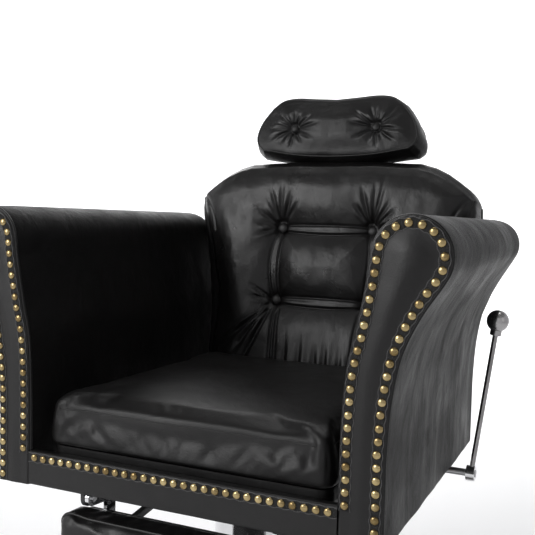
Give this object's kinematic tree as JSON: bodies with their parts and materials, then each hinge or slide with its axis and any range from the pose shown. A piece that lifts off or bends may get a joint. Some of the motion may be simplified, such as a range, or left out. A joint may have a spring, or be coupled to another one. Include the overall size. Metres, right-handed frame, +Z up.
{
  "type": "hydraulic barber chair",
  "caption": "Reclining barber chair on a round hydraulic base, with scroll arms trimmed in nail heads, a buttoned back, sliding headrest and linked leg rest.",
  "frame": {"origin": "on the floor, under the middle of the round base", "axes": "+Z up, -Y towards the front of the chair, +X to the sitter's left"},
  "size_m": [0.744, 0.7107, 1.0465],
  "materials": {
    "leather": "black upholstery leather, semi-gloss, fine grain",
    "leather_panel": "black leather drawn tight over a board, semi-gloss",
    "nail_brass": "antique brass, softly worn",
    "wood": "plywood, unfinished",
    "board_leather": "black leather over a board",
    "chrome": "bright chrome plate",
    "steel": "zinc plated steel",
    "black_steel": "black powder coat",
    "cast_base": "black painted cast plate",
    "rubber": "black moulded rubber"
  },
  "bodies": {
    "base": {"base_plate": "cast_base", "base_ring": "rubber", "base_cover": "chrome", "pump_cylinder": "black_steel", "pump_bolts": "steel", "pump_gland": "chrome", "pump_shroud": "chrome", "pedal_axle": "steel"},
    "pedal": {"pedal_arm": "chrome", "pedal_grips": "rubber"},
    "ram": {"pump_ram": "chrome", "swivel_washer": "steel"},
    "seat": {"swivel_hub": "black_steel", "mount_plate": "black_steel", "mount_bolts": "steel", "seat_frame": "black_steel", "seat_board": "wood", "seat_cushion": "leather", "front_apron": "leather_panel", "apron_nails": "nail_brass", "arm_panel_left": "leather_panel", "arm_panel_right": "leather_panel", "arm_left": "leather", "arm_right": "leather", "arm_core_left": "wood", "arm_core_right": "wood", "arm_nails_left": "nail_brass", "arm_nails_right": "nail_brass", "arm_brackets": "black_steel", "arm_screws": "steel", "hinge_brackets": "black_steel", "recline_pins": "steel", "lock_barrel": "black_steel", "lock_clamps": "black_steel", "lever_bearings": "black_steel", "leg_brackets": "black_steel", "leg_pins": "steel"},
    "back": {"back_cushion": "leather", "back_board": "board_leather", "back_rear_panel": "leather", "back_buttons": "leather", "back_frame": "black_steel", "post_sockets": "chrome"},
    "lock": {"lock_rod": "steel", "lock_cross_pin": "steel"},
    "lever": {"lever_shaft": "steel", "lever_hub": "steel", "lever_rod": "chrome", "lever_ball": "chrome"},
    "headrest": {"head_cushion": "leather", "head_board": "board_leather", "head_posts": "chrome", "head_buttons": "leather"},
    "leg_rest": {"leg_frame": "black_steel", "leg_board": "board_leather", "leg_cushion": "leather", "foot_plate": "chrome", "foot_tread": "rubber"},
    "link": {"leg_link": "black_steel"}
  },
  "joints": [
    {"name": "pump_lift", "type": "slide", "parent": "base", "child": "ram", "axis": [0, 0, 1], "range_m": [0, 0.15]},
    {"name": "swivel", "type": "hinge", "parent": "ram", "child": "seat", "pos_m": [0, 0, 0.3564], "axis": [0, 0, 1], "continuous": true},
    {"name": "pedal_press", "type": "hinge", "parent": "base", "child": "pedal", "pos_m": [0, 0.062, 0.085], "axis": [-1, 0, 0], "range_deg": [0, 13], "stiffness_Nm_per_rad": 20, "springref_deg": -11.46},
    {"name": "recline", "type": "hinge", "parent": "seat", "child": "back", "pos_m": [0, 0.2445, 0.465], "axis": [-1, 0, 0], "range_deg": [0, 50]},
    {"name": "lock_slide", "type": "slide", "parent": "seat", "child": "lock", "axis": [0, -1, 0], "range_m": [0, 0.06362]},
    {"name": "lever_pull", "type": "hinge", "parent": "seat", "child": "lever", "pos_m": [0.316, 0.16, 0.385], "axis": [-1, 0, 0], "range_deg": [0, 20], "stiffness_Nm_per_rad": 6, "springref_deg": -8.59},
    {"name": "headrest_slide", "type": "slide", "parent": "back", "child": "headrest", "axis": [0, 0.1736, 0.9848], "range_m": [0, 0.08]},
    {"name": "leg_swing", "type": "hinge", "parent": "seat", "child": "leg_rest", "pos_m": [0, -0.262, 0.392], "axis": [-1, 0, 0], "range_deg": [0, 50]},
    {"name": "link_swing", "type": "hinge", "parent": "back", "child": "link", "pos_m": [-0.121, 0.2995, 0.415], "axis": [1, 0, 0], "range_deg": [0, 50]}
  ],
  "couplings": [
    {"joint": "leg_swing", "follows": "recline", "ratio": 1},
    {"joint": "link_swing", "follows": "recline", "ratio": 1},
    {"joint": "lock_slide", "follows": "recline", "m_per_rad": 0.072671}
  ]
}
